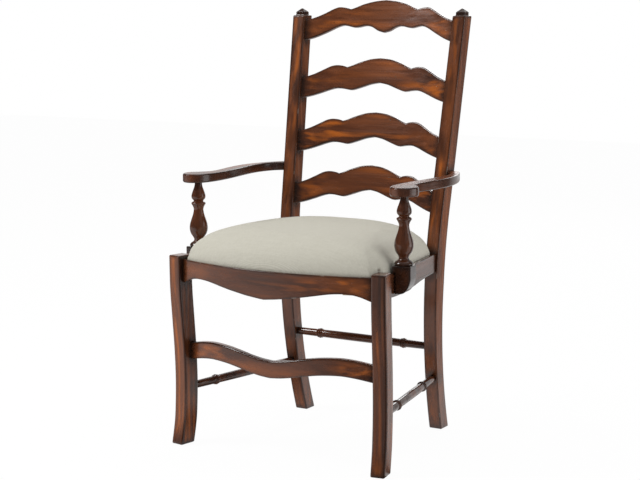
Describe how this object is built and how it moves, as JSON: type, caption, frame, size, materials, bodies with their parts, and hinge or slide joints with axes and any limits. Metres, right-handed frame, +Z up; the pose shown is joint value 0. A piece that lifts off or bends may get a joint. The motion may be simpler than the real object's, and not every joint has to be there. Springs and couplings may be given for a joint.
{
  "type": "ladder-back armchair",
  "caption": "Ladder-back armchair with scalloped bowed slats, shaped arms on turned supports, a shaped apron and a lift-out upholstered seat.",
  "frame": {"origin": "on the floor under the middle of the chair's overall box", "axes": "+Z up, -Y towards the front of the chair, +X towards the right side as seen from the front"},
  "size_m": [0.651, 0.6128, 1.1],
  "materials": {
    "mahogany": "satin lacquer, distressed, with lighter orange streaks along the grain",
    "dark_mahogany": "satin lacquer, darkened in the turnings",
    "block_wood": "plain unfinished softwood",
    "plywood": "unfinished plywood",
    "linen": "woven linen, matt",
    "foam": "open-cell upholstery foam",
    "dust_cloth": "black non-woven cloth",
    "screw_steel": "zinc plated",
    "glide_plastic": "dark nylon"
  },
  "bodies": {
    "frame": {"front_leg_right": "mahogany", "front_leg_left": "mahogany", "back_post_right": "mahogany", "back_post_left": "mahogany", "front_seat_rail": "mahogany", "side_seat_rail_right": "mahogany", "side_seat_rail_left": "mahogany", "back_seat_rail": "mahogany", "crest_slat": "mahogany", "back_slat_2": "mahogany", "back_slat_3": "mahogany", "back_slat_4": "mahogany", "front_stretcher": "mahogany", "arm_right": "mahogany", "arm_left": "mahogany", "side_stretcher_right": "dark_mahogany", "side_stretcher_left": "dark_mahogany", "rear_stretcher": "dark_mahogany", "arm_support_right": "dark_mahogany", "arm_support_left": "dark_mahogany", "arm_bracket_right": "dark_mahogany", "arm_bracket_left": "dark_mahogany", "corner_block_front_right": "block_wood", "corner_block_front_left": "block_wood", "corner_block_back_right": "block_wood", "corner_block_back_left": "block_wood", "arm_dowel_right": "block_wood", "arm_dowel_left": "block_wood", "block_screw_front_1_right": "screw_steel", "block_screw_front_1_left": "screw_steel", "block_screw_front_2_right": "screw_steel", "block_screw_front_2_left": "screw_steel", "block_screw_back_1_right": "screw_steel", "block_screw_back_1_left": "screw_steel", "block_screw_back_2_right": "screw_steel", "block_screw_back_2_left": "screw_steel", "bracket_screw_1_right": "screw_steel", "bracket_screw_1_left": "screw_steel", "bracket_screw_2_right": "screw_steel", "bracket_screw_2_left": "screw_steel", "glide_front_right": "glide_plastic", "glide_front_left": "glide_plastic", "glide_back_right": "glide_plastic", "glide_back_left": "glide_plastic"},
    "seat": {"seat_board": "plywood", "seat_foam": "foam", "seat_cover": "linen", "seat_dust_cover": "dust_cloth"}
  },
  "joints": [
    {"name": "seat_lift", "type": "slide", "parent": "frame", "child": "seat", "axis": [0, 0, 1], "range_m": [0, 0.08]}
  ]
}
